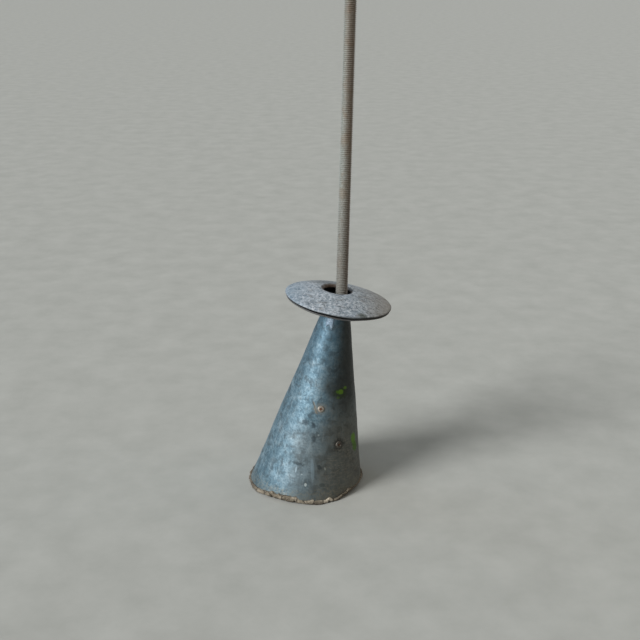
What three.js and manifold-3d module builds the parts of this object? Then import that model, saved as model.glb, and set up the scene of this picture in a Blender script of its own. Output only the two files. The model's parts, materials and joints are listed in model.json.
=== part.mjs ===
// A weathered zinc cone post: a leaning sheet-zinc cone cast onto a mortar foot, with a threaded rod
// rising out of its neck and a loose two-dish collar on the rod.
// Millimetres, +Z up. The origin is the middle of the foot on the floor, and the cone leans towards +X.
import * as THREE from "three";
import { mergeVertices } from "three/addons/utils/BufferGeometryUtils.js";
import Module from "manifold-3d";

const wasm = await Module();
wasm.setup();

// ---- Driving dimensions -------------------------------------------------------------------------

const GAP = 0.3; // left between pieces that touch
const ROUND = 56; // sides of the large round pieces
const ROUND_SMALL = 24; // sides of the fasteners

// Cone: a truncated cone of rolled sheet, cut off level at the foot.
const FOOT_WIDTH = 98.6; // across the cone where its sides would meet the floor
const CONE_LEAN = THREE.MathUtils.degToRad(9.02);
const CONE_HALF_ANGLE = THREE.MathUtils.degToRad(13.08);
const CONE_SHEET = 1.2;
const NECK_RADIUS = 10.6; // outside, at the open top of the neck

// Seam strip down the back of the cone.
const SEAM_WIDTH = 13;
const SEAM_SHEET = 0.9;

// Ring soldered round the neck, which carries the collar, and its solder.
const RING_WIRE_RADIUS = 1.5;
const SPIGOT_LENGTH = 4.5; // neck above the middle of the ring
const SOLDER_THICKNESS = 0.9;
const SOLDER_SLEEVE = 3; // length of the fillet round the neck
const SOLDER_RUN_WIDTH = 7;
const SOLDER_RUN_LENGTH = 8;
const SOLDER_RUN_ANGLE = THREE.MathUtils.degToRad(-110);

// Mortar foot.
const LIP_HEIGHT = 4;
const LIP_OVERHANG = 1.5; // beyond the sheet's outside
const MORTAR_DEPTH = 40;

// Threaded rod, M10, standing in the neck against its +X side.
const ROD_DIAMETER = 10;
const ROD_LENGTH = 417;
const ROD_LEAN = THREE.MathUtils.degToRad(1.26);
const ROD_CHAMFER = 1;
const ROD_END_HEIGHT = 8; // of the rod's buried end over the floor
const ROD_NECK_CLEARANCE = 1.1;

// Nuts and washers for the rod.
const NUT_FLATS = 1.7 * ROD_DIAMETER;
const NUT_HEIGHT = 0.8 * ROD_DIAMETER;
const HOLE_ROOM = 0.4; // between the rod and the holes round it
const ANCHOR_PLATE_RADIUS = 17;
const ANCHOR_PLATE_THICKNESS = 4;
const CLAMP_WASHER_RADIUS = 15;
const CLAMP_WASHER_THICKNESS = 2.5;
const ROD_BELOW_NUT = 2;

// Collar: two thin dishes, rim to rim.
const COLLAR_RADIUS = 45;
const DISH_SHEET = 1.2;
const UPPER_RISE = 9.4;
const UPPER_HOLE_RADIUS = 12;
const UPPER_HOLE_SHIFT = -2.7; // the hole is off the middle of the dish
const UPPER_LIP_DEPTH = 3;
const LOWER_DROP = 6.8;
const SEAT_WIDTH = 5.2; // flat ring round the lower hole
const SPIGOT_CLEARANCE = 0.6;
const RIM_GAP = 0.8;
const LOWER_RIM_INSET = 0.9; // the lower rim stands in under the upper one

// Blind rivets through the sheet.
const RIVET_RADIUS = 1.6;
const RIVET_HEAD_RADIUS = 2.9;
const RIVET_HEAD_HEIGHT = 1.2;
const RIVET_TAIL_LENGTH = 4;
const STEM_RADIUS = 0.85;
const RIVETS = [
  { name: "rivet_upper", height: 80.3, angle: -91.6 },
  { name: "rivet_lower", height: 48, angle: -58.8 },
];

// ---- Places worked out from them ----------------------------------------------------------------

const taper = Math.tan(CONE_HALF_ANGLE);
const apexHeight =
  FOOT_WIDTH / (Math.tan(CONE_LEAN + CONE_HALF_ANGLE) + Math.tan(CONE_HALF_ANGLE - CONE_LEAN));
const apexX =
  (apexHeight * (Math.tan(CONE_LEAN + CONE_HALF_ANGLE) - Math.tan(CONE_HALF_ANGLE - CONE_LEAN))) / 2;

// The cone's own frame has its origin at the point that the sides run to, and z up its axis.
const neckTop = -NECK_RADIUS / taper;
const ringLevel = neckTop - SPIGOT_LENGTH;
const seatLevel = ringLevel + RING_WIRE_RADIUS + GAP;
const upperDishLevel = seatLevel + LOWER_DROP + DISH_SHEET + RIM_GAP;
const coneRadius = (z) => -z * taper;
const wallAcross = (thickness) => thickness / Math.cos(CONE_HALF_ANGLE);

const neckInside = NECK_RADIUS - wallAcross(CONE_SHEET);
const rodOffset = neckInside - ROD_DIAMETER / 2 - ROD_NECK_CLEARANCE;
const neckX = apexX + neckTop * Math.sin(CONE_LEAN) + rodOffset * Math.cos(CONE_LEAN);
const neckHeight = apexHeight + neckTop * Math.cos(CONE_LEAN) - rodOffset * Math.sin(CONE_LEAN);
const rodFootX = neckX - neckHeight * Math.tan(ROD_LEAN);

// Levels up the rod, from where its line meets the floor.
const lowerNutLevel = ROD_END_HEIGHT + ROD_BELOW_NUT;
const anchorPlateLevel = lowerNutLevel + NUT_HEIGHT + GAP;
const upperNutLevel = anchorPlateLevel + ANCHOR_PLATE_THICKNESS + GAP;
const clampWasherLevel =
  (MORTAR_DEPTH + CLAMP_WASHER_RADIUS * Math.sin(ROD_LEAN)) / Math.cos(ROD_LEAN) + GAP;
const clampNutLevel = clampWasherLevel + CLAMP_WASHER_THICKNESS + GAP;

// ---- Materials ----------------------------------------------------------------------------------

const finish = (color, roughness, metalness) =>
  new THREE.MeshStandardMaterial({ color, roughness, metalness });
const materials = {
  sheetZinc: finish(0x5f7682, 0.6, 0.6),
  dishZinc: finish(0xa2a4ab, 0.55, 0.6),
  solder: finish(0xa9b2b4, 0.45, 0.8),
  mortar: finish(0x8d8172, 0.95, 0),
  rodSteel: finish(0x86827a, 0.5, 0.8),
  fastenerSteel: finish(0x6f665c, 0.6, 0.7),
  rivetAluminium: finish(0xb0aca4, 0.45, 0.8),
  rivetSteel: finish(0x6b4a35, 0.8, 0.4),
};

// ---- Tools --------------------------------------------------------------------------------------

function solidOf(geometry) {
  const bare = new THREE.BufferGeometry();
  bare.setAttribute("position", geometry.getAttribute("position"));
  bare.setIndex(geometry.index);
  const merged = mergeVertices(bare, 1e-4);
  return new wasm.Manifold(
    new wasm.Mesh({
      numProp: 3,
      vertProperties: merged.attributes.position.array,
      triVerts: new Uint32Array(merged.index.array),
    }),
  );
}

function geometryOf(solid) {
  const mesh = solid.getMesh();
  const geometry = new THREE.BufferGeometry();
  geometry.setAttribute("position", new THREE.BufferAttribute(mesh.vertProperties, 3));
  geometry.setIndex(new THREE.BufferAttribute(mesh.triVerts, 1));
  return geometry;
}

// A closed outline of [radius, z] points turned about Z, whichever way round it is written.
function turned(outline, sides = ROUND) {
  const points = outline.map(([radius, z]) => new THREE.Vector2(radius, z));
  const closed = outline[0][0] > 0 ? [...points, points[0].clone()] : points;
  if (THREE.ShapeUtils.area(points) < 0) closed.reverse();
  return new THREE.LatheGeometry(closed, sides).rotateX(Math.PI / 2);
}

const tube = (inner, outer, low, high, sides) =>
  turned([[inner, low], [outer, low], [outer, high], [inner, high]], sides);

const rod = (radius, low, high, sides) => turned([[0, low], [radius, low], [radius, high], [0, high]], sides);

// A cone that keeps `offset` outside the sheet's outer surface (inside it where negative).
function coneAt(offset, low, high) {
  const radius = (z) => coneRadius(z) + wallAcross(offset);
  return turned([[0, low], [radius(low), low], [radius(high), high], [0, high]]);
}

function block(width, depth, height, x, y, z) {
  return new THREE.BoxGeometry(width, depth, height).translate(x, y, z);
}

function hexagon(flats, height, low) {
  const corner = flats / Math.sqrt(3);
  const corners = Array.from({ length: 6 }, (_, i) => {
    const angle = (i * Math.PI) / 3;
    return new THREE.Vector2(corner * Math.cos(angle), corner * Math.sin(angle));
  });
  const prism = new THREE.ExtrudeGeometry(new THREE.Shape(corners), { depth: height, bevelEnabled: false });
  return prism.translate(0, 0, low);
}

const part = new THREE.Group();
const cone = new THREE.Group();
cone.position.set(apexX, 0, apexHeight);
cone.rotation.y = CONE_LEAN;
const rodLine = new THREE.Group();
rodLine.position.set(rodFootX, 0, 0);
rodLine.rotation.y = ROD_LEAN;
part.add(cone, rodLine);
part.updateMatrixWorld(true);

function add(group, name, shape, material) {
  const geometry = shape.isBufferGeometry ? shape : geometryOf(shape);
  const mesh = new THREE.Mesh(geometry, material);
  mesh.name = name;
  group.add(mesh);
  return mesh;
}

// A solid described in one group's frame, as it lies in another's.
function carried(geometry, from, to) {
  const matrix = to.matrixWorld.clone().invert().multiply(from.matrixWorld);
  return solidOf(geometry.clone().applyMatrix4(matrix));
}

// Everything between two heights over the floor, in the cone's frame.
const SLAB = 4 * FOOT_WIDTH;
const between = (low, high) =>
  carried(block(SLAB, SLAB, high - low, 0, 0, (low + high) / 2), part, cone);

const coneEnd = -1.3 * apexHeight; // below the floor all round

// ---- Cone, seam and neck ------------------------------------------------------------------------

// A rivet's frame: on the sheet, x round the cone, z out along the normal.
function rivetFrame({ height, angle }) {
  const frame = new THREE.Group();
  const around = THREE.MathUtils.degToRad(angle);
  const slope = Math.cos(CONE_LEAN) + taper * Math.cos(around) * Math.sin(CONE_LEAN);
  const level = (height - apexHeight) / slope;
  frame.rotation.order = "ZYX";
  frame.rotation.set(0, Math.PI / 2 - CONE_HALF_ANGLE, around);
  frame.position.set(
    coneRadius(level) * Math.cos(around),
    coneRadius(level) * Math.sin(around),
    level,
  );
  cone.add(frame);
  frame.updateMatrixWorld(true);
  return frame;
}

const rivetFrames = RIVETS.map(rivetFrame);

function coneShell() {
  let shell = solidOf(coneAt(0, coneEnd, neckTop));
  shell = shell.subtract(solidOf(coneAt(-CONE_SHEET, coneEnd - 1, neckTop + 1)));
  shell = shell.intersect(between(LIP_HEIGHT + GAP, apexHeight));
  for (const frame of rivetFrames) {
    const hole = rod(RIVET_RADIUS + GAP, -3 * CONE_SHEET, 3 * CONE_SHEET, ROUND_SMALL);
    shell = shell.subtract(carried(hole, frame, cone));
  }
  return shell;
}

// A layer of the given thickness lying on the sheet, kept inside a block turned round the axis.
function layerOnSheet(thickness, low, high) {
  return solidOf(coneAt(GAP + thickness, low, high)).subtract(solidOf(coneAt(GAP, low - 1, high + 1)));
}

function seamStrip() {
  const layer = layerOnSheet(SEAM_SHEET, coneEnd, ringLevel - RING_WIRE_RADIUS - SOLDER_SLEEVE - 3 * GAP);
  const back = block(SEAM_WIDTH, FOOT_WIDTH, -coneEnd, 0, FOOT_WIDTH / 2, coneEnd / 2);
  return layer.intersect(solidOf(back)).intersect(between(LIP_HEIGHT + GAP, apexHeight));
}

function neckRing() {
  const radius = coneRadius(ringLevel) + wallAcross(RING_WIRE_RADIUS + GAP);
  const sides = 8;
  const outline = [];
  for (let i = 0; i < sides; i++) {
    const angle = (2 * Math.PI * i) / sides;
    outline.push([
      radius + RING_WIRE_RADIUS * Math.cos(angle),
      ringLevel + RING_WIRE_RADIUS * Math.sin(angle),
    ]);
  }
  return turned(outline);
}

function neckSolder() {
  const top = ringLevel - RING_WIRE_RADIUS - GAP;
  const sleeve = layerOnSheet(SOLDER_THICKNESS, top - SOLDER_SLEEVE, top);
  const run = layerOnSheet(SOLDER_THICKNESS, top - SOLDER_SLEEVE - SOLDER_RUN_LENGTH, top - 1);
  const depth = 2 * NECK_RADIUS;
  const length = SOLDER_SLEEVE + SOLDER_RUN_LENGTH;
  const side = block(depth, SOLDER_RUN_WIDTH, 2 * length, depth / 2 + 2, 0, top - length);
  return sleeve.add(run.intersect(solidOf(side.rotateZ(SOLDER_RUN_ANGLE))));
}

add(cone, "cone_shell", coneShell(), materials.sheetZinc);
add(cone, "seam_strip", seamStrip(), materials.sheetZinc);
add(cone, "neck_ring", neckRing(), materials.sheetZinc);
add(cone, "neck_solder", neckSolder(), materials.solder);

// ---- Rod and its fasteners ----------------------------------------------------------------------

const rodRadius = ROD_DIAMETER / 2;

function threadedRod() {
  const low = ROD_END_HEIGHT;
  const high = ROD_END_HEIGHT + ROD_LENGTH;
  return turned([
    [0, low],
    [rodRadius - ROD_CHAMFER, low],
    [rodRadius, low + ROD_CHAMFER],
    [rodRadius, high - ROD_CHAMFER],
    [rodRadius - ROD_CHAMFER, high],
    [0, high],
  ], ROUND_SMALL);
}

function nut(level) {
  const bore = rod(rodRadius + GAP, level - 1, level + NUT_HEIGHT + 1, ROUND_SMALL);
  const corner = NUT_FLATS / Math.sqrt(3);
  const chamfer = (corner - NUT_FLATS / 2) / 2;
  const turnedDown = turned([
    [0, level],
    [NUT_FLATS / 2, level],
    [corner, level + chamfer],
    [corner, level + NUT_HEIGHT - chamfer],
    [NUT_FLATS / 2, level + NUT_HEIGHT],
    [0, level + NUT_HEIGHT],
  ], ROUND_SMALL);
  return solidOf(hexagon(NUT_FLATS, NUT_HEIGHT, level)).intersect(solidOf(turnedDown)).subtract(solidOf(bore));
}

const washer = (radius, thickness, level) =>
  tube(rodRadius + HOLE_ROOM, radius, level, level + thickness, ROUND);

const anchorPlate = () => washer(ANCHOR_PLATE_RADIUS, ANCHOR_PLATE_THICKNESS, anchorPlateLevel);
const clampWasher = () => washer(CLAMP_WASHER_RADIUS, CLAMP_WASHER_THICKNESS, clampWasherLevel);

add(rodLine, "threaded_rod", threadedRod(), materials.rodSteel);
add(rodLine, "anchor_nut_lower", nut(lowerNutLevel), materials.fastenerSteel);
add(rodLine, "anchor_plate", anchorPlate(), materials.fastenerSteel);
add(rodLine, "anchor_nut_upper", nut(upperNutLevel), materials.fastenerSteel);
add(rodLine, "clamp_washer", clampWasher(), materials.fastenerSteel);
add(rodLine, "clamp_nut", nut(clampNutLevel), materials.fastenerSteel);

// ---- Mortar foot --------------------------------------------------------------------------------

// The room that the rod, the plate and the two nuts take up inside the mortar.
function rodRoom() {
  const nutRoom = (level) => hexagon(NUT_FLATS + 2 * GAP, NUT_HEIGHT + 2 * GAP, level - GAP);
  const shapes = [
    rod(rodRadius + GAP, ROD_END_HEIGHT - GAP, 2 * MORTAR_DEPTH, ROUND_SMALL),
    rod(ANCHOR_PLATE_RADIUS + GAP, anchorPlateLevel - GAP, anchorPlateLevel + ANCHOR_PLATE_THICKNESS + GAP),
    nutRoom(lowerNutLevel),
    nutRoom(upperNutLevel),
  ];
  return shapes.map((shape) => carried(shape, rodLine, cone)).reduce((all, shape) => all.add(shape));
}

function mortarFoot() {
  const core = solidOf(coneAt(-CONE_SHEET - GAP, coneEnd, neckTop)).intersect(between(0, MORTAR_DEPTH));
  const lip = solidOf(coneAt(LIP_OVERHANG, coneEnd, neckTop)).intersect(between(0, LIP_HEIGHT));
  return core.add(lip).subtract(rodRoom());
}

add(cone, "mortar_foot", mortarFoot(), materials.mortar);

// ---- Collar -------------------------------------------------------------------------------------

const DISH_STEPS = 6;
const CROWN = 1.25; // 1 is a straight cone, more rounds the rim over

// Points along a dish's section, from its inner radius to its rim.
function section(inner, rim, height) {
  return Array.from({ length: DISH_STEPS + 1 }, (_, i) => {
    const along = i / DISH_STEPS;
    return [inner + (rim - inner) * along, height * (1 - along ** CROWN)];
  });
}

function upperDish() {
  const rise = UPPER_RISE - DISH_SHEET;
  const inside = section(UPPER_HOLE_RADIUS + DISH_SHEET, COLLAR_RADIUS, rise);
  const outside = section(UPPER_HOLE_RADIUS, COLLAR_RADIUS, rise).map(([radius, z]) => [
    radius,
    z + DISH_SHEET,
  ]);
  const lipEnd = UPPER_RISE - UPPER_LIP_DEPTH;
  const outline = [
    [UPPER_HOLE_RADIUS, lipEnd],
    ...outside,
    ...inside.reverse(),
    [UPPER_HOLE_RADIUS + DISH_SHEET, lipEnd],
  ];
  const dish = turned(outline);
  const position = dish.getAttribute("position");
  for (let i = 0; i < position.count; i++) {
    position.setX(i, position.getX(i) + (UPPER_HOLE_SHIFT * position.getZ(i)) / UPPER_RISE);
  }
  return dish;
}

function lowerDish() {
  const hole = coneRadius(seatLevel) + SPIGOT_CLEARANCE;
  const rim = COLLAR_RADIUS - LOWER_RIM_INSET;
  const under = section(hole + SEAT_WIDTH, rim, LOWER_DROP).map(([radius, z]) => [
    radius,
    LOWER_DROP - z,
  ]);
  const over = under.map(([radius, z]) => [radius, z + DISH_SHEET]);
  return turned([[hole, 0], ...under, ...over.reverse(), [hole, DISH_SHEET]]);
}

add(cone, "collar_lower_dish", lowerDish(), materials.dishZinc).position.z = seatLevel;
add(cone, "collar_upper_dish", upperDish(), materials.dishZinc).position.z = upperDishLevel;

// ---- Blind rivets -------------------------------------------------------------------------------

function rivetBody() {
  const bore = STEM_RADIUS + GAP;
  const underSheet = -CONE_SHEET - GAP;
  const tailEnd = underSheet - RIVET_TAIL_LENGTH;
  return turned([
    [bore, tailEnd],
    [RIVET_RADIUS, tailEnd],
    [RIVET_RADIUS + 0.9, underSheet - RIVET_TAIL_LENGTH / 2],
    [RIVET_RADIUS, underSheet],
    [RIVET_RADIUS, GAP],
    [RIVET_HEAD_RADIUS, GAP],
    [RIVET_HEAD_RADIUS * 0.92, GAP + RIVET_HEAD_HEIGHT * 0.55],
    [RIVET_HEAD_RADIUS * 0.6, GAP + RIVET_HEAD_HEIGHT],
    [bore, GAP + RIVET_HEAD_HEIGHT],
  ], ROUND_SMALL);
}

function rivetStem() {
  const tailEnd = -CONE_SHEET - 2 * GAP - RIVET_TAIL_LENGTH;
  const ball = 1.7 * STEM_RADIUS;
  return turned([
    [0, tailEnd - 2 * ball],
    [ball * 0.8, tailEnd - 1.6 * ball],
    [ball, tailEnd - ball],
    [ball * 0.8, tailEnd],
    [STEM_RADIUS, tailEnd],
    [STEM_RADIUS, RIVET_HEAD_HEIGHT - GAP],
    [0, RIVET_HEAD_HEIGHT],
  ], ROUND_SMALL);
}

RIVETS.forEach(({ name }, i) => {
  add(rivetFrames[i], name + "_body", rivetBody(), materials.rivetAluminium);
  add(rivetFrames[i], name + "_stem", rivetStem(), materials.rivetSteel);
});

export default part;
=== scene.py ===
"""Looks of a weathered zinc cone post: a leaning cone of sheet zinc on a mortar foot, a threaded rod
standing in its neck, and a collar of two zinc dishes, loose on the rod.

Pieces are modelled in millimetres, each in the frame it is turned about, and placed in metres."""
import json
import math

import bmesh
import bpy
from mathutils import Matrix, Vector, noise


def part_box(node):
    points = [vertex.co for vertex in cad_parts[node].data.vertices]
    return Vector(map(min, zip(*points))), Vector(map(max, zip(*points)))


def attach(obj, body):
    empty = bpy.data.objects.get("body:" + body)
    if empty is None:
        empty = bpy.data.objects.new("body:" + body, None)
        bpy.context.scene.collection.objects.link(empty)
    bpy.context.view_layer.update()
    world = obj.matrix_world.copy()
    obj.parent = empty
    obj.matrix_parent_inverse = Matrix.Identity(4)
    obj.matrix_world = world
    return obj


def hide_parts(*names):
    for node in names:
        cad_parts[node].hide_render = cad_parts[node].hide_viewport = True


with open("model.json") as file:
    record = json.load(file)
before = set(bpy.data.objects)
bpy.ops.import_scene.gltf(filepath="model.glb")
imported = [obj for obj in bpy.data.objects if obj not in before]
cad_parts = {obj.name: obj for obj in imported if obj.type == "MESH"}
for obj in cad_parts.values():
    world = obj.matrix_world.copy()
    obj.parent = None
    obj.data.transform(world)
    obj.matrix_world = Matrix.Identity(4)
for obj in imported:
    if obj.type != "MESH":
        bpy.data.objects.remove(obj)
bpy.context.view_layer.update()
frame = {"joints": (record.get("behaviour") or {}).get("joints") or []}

# ---- Sizes, in millimetres ----------------------------------------------------------------------

MM = 0.001
FULL_TURN = 2 * math.pi

HALF_ANGLE = math.radians(13.08)
TAPER = math.tan(HALF_ANGLE)
APEX_OVER_RIM = 39.52  # from the collar's rim up to the point that the cone's sides run to
SHEET = 1.2
TOUCH = 0.3  # left between pieces that touch
PAST_FLOOR = 245.0  # down the cone's axis, where its sides are under the floor all round
NECK_RADIUS = 10.6
NECK_DOWN = NECK_RADIUS / TAPER
RING_WIRE = 1.5
RING_SIDES = 20
RING_DOWN = NECK_DOWN + 4.5
SOLDER_SLEEVE = 3.0
SEAM_HALF_WIDTH = 6.5
SEAM_SHEET = 0.9
SEAM_RADIUS = 33.0  # of the cone where the strip is first laid, before it is drawn parallel

ROD_RADIUS = 5.0
ROD_CHAMFER = 1.0
ROD_SIDES = 32
THREAD_PITCH = 1.5
THREAD_DEPTH = 0.92
HOLE_ROOM = 0.4  # between the rod and the washers
ANCHOR_PLATE_RADIUS = 17.0
CLAMP_WASHER_RADIUS = 15.0

UPPER_RIM_RADIUS = 45.0
LOWER_RIM_RADIUS = 44.1
DISH_SHEET = 1.2
UPPER_RISE = 9.4
HOLE_RADIUS = 12.0
HOLE_SHIFT = -2.7
HOLE_LIP = 3.0
LOWER_DROP = 6.8
SEAT_WIDTH = 5.2
SPIGOT_CLEARANCE = 0.6  # between the neck and the lower dish's hole
RIM_GAP = 0.8

MORTAR_DEPTH = 40.0
SHEET_END = 4.3  # height of the cone's lower edge in the frame
LEVEL_CUT = 0.9863  # about the depth over the width of a level cut through the leaning cone
FOOT_BLEND = 14.0  # over that edge, the height in which the sheet is drawn to its ragged end

RIVET_RADIUS = 1.6
RIVET_HEAD = 2.9
RIVET_HEAD_HEIGHT = 1.2
RIVET_TAIL = 4.0
RIVET_SWELL = 0.9
STEM_RADIUS = 0.85


# ---- Places, from the frame ---------------------------------------------------------------------

def standing_frame(origin, axis):
    """The frame, in millimetres, whose z runs along an axis that leans in the X-Z plane."""
    z = Vector(axis).normalized()
    y = Vector((0, 1, 0))
    turned = Matrix((y.cross(z), y, z)).transposed().to_4x4()
    return Matrix.Translation(origin) @ turned


joints = {joint["name"]: joint for joint in frame["joints"]}
collar_axis = Vector(joints["upper_dish_turn"]["axis"]).normalized()
rim_centre = Vector(joints["upper_dish_turn"]["pos_m"]) / MM
apex = rim_centre + collar_axis * APEX_OVER_RIM
cone_frame = standing_frame(apex, collar_axis)
into_cone = cone_frame.inverted()

rod_axis = Vector(joints["collar_lift"]["axis"]).normalized()
rod_low, rod_high = (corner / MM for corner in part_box("threaded_rod"))
rod_start = Vector((rod_low.x + ROD_RADIUS * rod_axis.z, 0, rod_low.z + ROD_RADIUS * rod_axis.x))
rod_frame = standing_frame(rod_start, rod_axis)
rod_length = (rod_high.z - rod_low.z - 2 * ROD_RADIUS * rod_axis.x) / rod_axis.z

UPPER_DISH_DOWN = APEX_OVER_RIM
LOWER_DISH_DOWN = UPPER_DISH_DOWN + RIM_GAP + DISH_SHEET + LOWER_DROP
hole_centre = cone_frame @ Vector((HOLE_SHIFT, 0, UPPER_RISE - UPPER_DISH_DOWN))
# A spot on the upper dish just behind the hole, where the sheet turns down into it, is darkened as
# painted shade.
shade_spot_centre = hole_centre + Vector((-6, 20, 0))
moss_centre = rim_centre + Matrix.Rotation(math.radians(-64), 3, "Z") @ Vector((44, 0, 1))


def on_cone(angle, down, out=0.0):
    """A point in the cone's frame, `down` from the apex along the axis and `out` from the sheet."""
    radius = down * TAPER + out / math.cos(HALF_ANGLE)
    return Vector((radius * math.cos(angle), radius * math.sin(angle), -down))


def height_to_down(height, angle):
    """How far down the axis the sheet's outside reaches a height over the floor, at an angle."""
    slope = collar_axis.z + TAPER * math.cos(angle) * collar_axis.x
    return (apex.z - height) / slope


# ---- Modelling helpers --------------------------------------------------------------------------

def smooth_step(low, high, value):
    share = min(1.0, max(0.0, (value - low) / (high - low)))
    return share * share * (3 - 2 * share)


def around(knots, degrees):
    """A value read off given (degrees, value) knots that go once round, eased between them."""
    degrees = (degrees - knots[0][0]) % 360 + knots[0][0]
    closed = knots + [(knots[0][0] + 360, knots[0][1])]
    for (start, first), (end, second) in zip(closed, closed[1:]):
        if degrees <= end:
            return first + (second - first) * smooth_step(start, end, degrees)


def rough(point, size, octaves=4):
    """Smooth random relief between about -1 and 1, its lumps `size` millimetres across."""
    return noise.fractal(point / size, 1.0, 2.0, octaves)


def spun(points, steps, closed=False, angle=FULL_TURN, start=0.0, climb=0.0):
    """An outline of (radius, z) points turned about Z."""
    bm = bmesh.new()
    turn = Matrix.Rotation(start, 3, "Z")
    verts = [bm.verts.new(turn @ Vector((radius, 0, z))) for radius, z in points]
    pairs = list(zip(verts, verts[1:])) + ([(verts[-1], verts[0])] if closed else [])
    edges = [bm.edges.new(pair) for pair in pairs]
    full = angle == FULL_TURN and not climb
    bmesh.ops.spin(bm, geom=verts + edges, cent=(0, 0, 0), axis=(0, 0, 1), angle=angle, steps=steps,
                   dvec=(0, 0, climb / steps), use_merge=full, use_duplicate=False)
    if full:
        bmesh.ops.remove_doubles(bm, verts=bm.verts, dist=1e-4)
        bmesh.ops.recalc_face_normals(bm, faces=bm.faces)
    return bm


def finish_piece(bm, name, where, body, node, material, sharp=35.0):
    """Puts a piece in its place in metres and hands it to the frame."""
    bm.transform(Matrix.Scale(MM, 4) @ where)
    mesh = bpy.data.meshes.new(name)
    bm.to_mesh(mesh)
    bm.free()
    mesh.shade_smooth()
    mesh.set_sharp_from_angle(angle=math.radians(sharp))
    piece = bpy.data.objects.new(name, mesh)
    bpy.context.scene.collection.objects.link(piece)
    mesh.materials.append(material)
    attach(piece, body)
    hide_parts(node)
    return piece


def thicken(piece, thickness):
    """Gives a piece that is one skin its wall, inwards from that skin."""
    wall = piece.modifiers.new("Wall", "SOLIDIFY")
    wall.thickness = thickness * MM
    wall.offset = -1.0
    wall.use_even_offset = True


def soften(piece, width, segments):
    """Rounds the cut edges of a piece of sheet."""
    edges = piece.modifiers.new("Edges", "BEVEL")
    edges.width = width * MM
    edges.segments = segments
    edges.limit_method = "ANGLE"
    edges.angle_limit = math.radians(50)


def arc(centre, radius, start, end, count):
    """Points round part of a circle, its angles in degrees."""
    for i in range(count + 1):
        angle = math.radians(start + (end - start) * i / count)
        yield centre[0] + radius * math.cos(angle), centre[1] + radius * math.sin(angle)


# ---- Materials ----------------------------------------------------------------------------------

NOISE = "ShaderNodeTexNoise"
CELLS = "ShaderNodeTexVoronoi"
RAMP = "ShaderNodeValToRGB"
RANGE = "ShaderNodeMapRange"
MIX = "ShaderNodeMix"
MATH = "ShaderNodeMath"
VECTOR = "ShaderNodeVectorMath"


def colour(code):
    """An sRGB hex value as linear red, green, blue and alpha."""
    channels = [int(code[i:i + 2], 16) / 255 for i in (1, 3, 5)]
    linear = [c / 12.92 if c <= 0.04045 else ((c + 0.055) / 1.055) ** 2.4 for c in channels]
    return (*linear, 1.0)


def per(size):
    """A texture's scale for a pattern `size` millimetres across."""
    return 1 / (size * MM)


def add(tree, kind, inputs=None, output=0, stops=(), **settings):
    """Adds a node, sets it, links or sets its inputs, and gives back one output.

    `stops` are a colour ramp's positions and hex values, from low to high."""
    node = tree.nodes.new(kind)
    for name, value in settings.items():
        setattr(node, name, value)
    for name, value in (inputs or {}).items():
        if isinstance(value, bpy.types.NodeSocket):
            tree.links.new(value, node.inputs[name])
        else:
            node.inputs[name].default_value = value
    if stops:
        ramp = node.color_ramp.elements
        for element, (position, code) in ((ramp[0], stops[0]), (ramp[1], stops[-1])):
            element.position = position
            element.color = colour(code)
        for position, code in stops[1:-1]:
            ramp.new(position).color = colour(code)
    return node.outputs[output] if len(node.outputs) else None


def new_material(name):
    material = bpy.data.materials.new(name)
    material.use_nodes = True
    tree = material.node_tree
    tree.nodes.clear()
    return material, tree, add(tree, "ShaderNodeTexCoord", output="Object")


def lay_coats(tree, base, coats):
    """Covers the base with coats. Each is (pattern, low, high, most, hex value): the coat's cover
    goes from none where the pattern is `low` to `most` where it is `high`."""
    for pattern, low, high, most, code in coats:
        cover = add(tree, RANGE, {"Value": pattern, "From Min": low, "From Max": high, "To Max": most},
                    interpolation_type="SMOOTHSTEP")
        base = add(tree, MIX, {0: cover, 6: base, 7: colour(code)}, 2, data_type="RGBA")
    return base


def close_material(tree, base, roughness, metallic, height, depth):
    """Ends with the shader: a height of 0 to 1 stands `depth` millimetres tall."""
    normal = add(tree, "ShaderNodeBump", {"Height": height, "Distance": depth * MM})
    shader = add(tree, "ShaderNodeBsdfPrincipled", {"Base Color": base, "Roughness": roughness,
                                                    "Metallic": metallic, "Normal": normal})
    add(tree, "ShaderNodeOutputMaterial", {"Surface": shader})


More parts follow.
